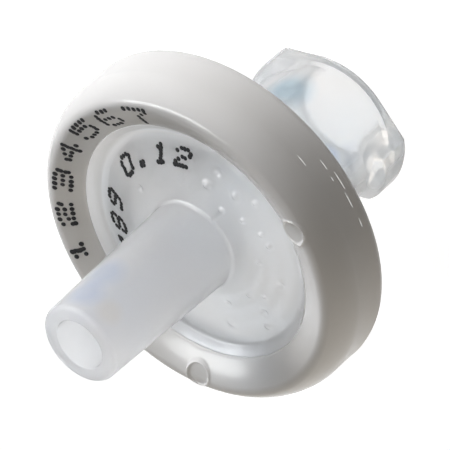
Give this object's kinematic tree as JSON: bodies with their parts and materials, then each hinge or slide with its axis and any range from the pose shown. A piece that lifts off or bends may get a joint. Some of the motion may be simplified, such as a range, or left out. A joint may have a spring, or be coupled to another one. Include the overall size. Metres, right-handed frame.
{
  "type": "syringe filter",
  "caption": "Small disc syringe filter: luer lock socket inlet, luer nozzle outlet, membrane clamped between two translucent shells in a white moulded ring.",
  "frame": {"origin": "centre of the inlet socket's rim, which the filter stands on", "axes": "+Z along the flow axis, from the inlet rim to the tip of the outlet nozzle; X and Y lie in the plane of the rim"},
  "size_m": [0.0168, 0.0168, 0.0191],
  "materials": {
    "inlet_housing": "clear natural polypropylene, smooth",
    "outlet_housing": "milky natural polypropylene, smooth",
    "membrane": "matt white porous sheet",
    "overmold_ring": "glossy white polypropylene"
  },
  "bodies": {
    "root": {"inlet_housing": "inlet_housing", "outlet_housing": "outlet_housing", "membrane": "membrane", "overmold_ring": "overmold_ring"}
  },
  "joints": []
}
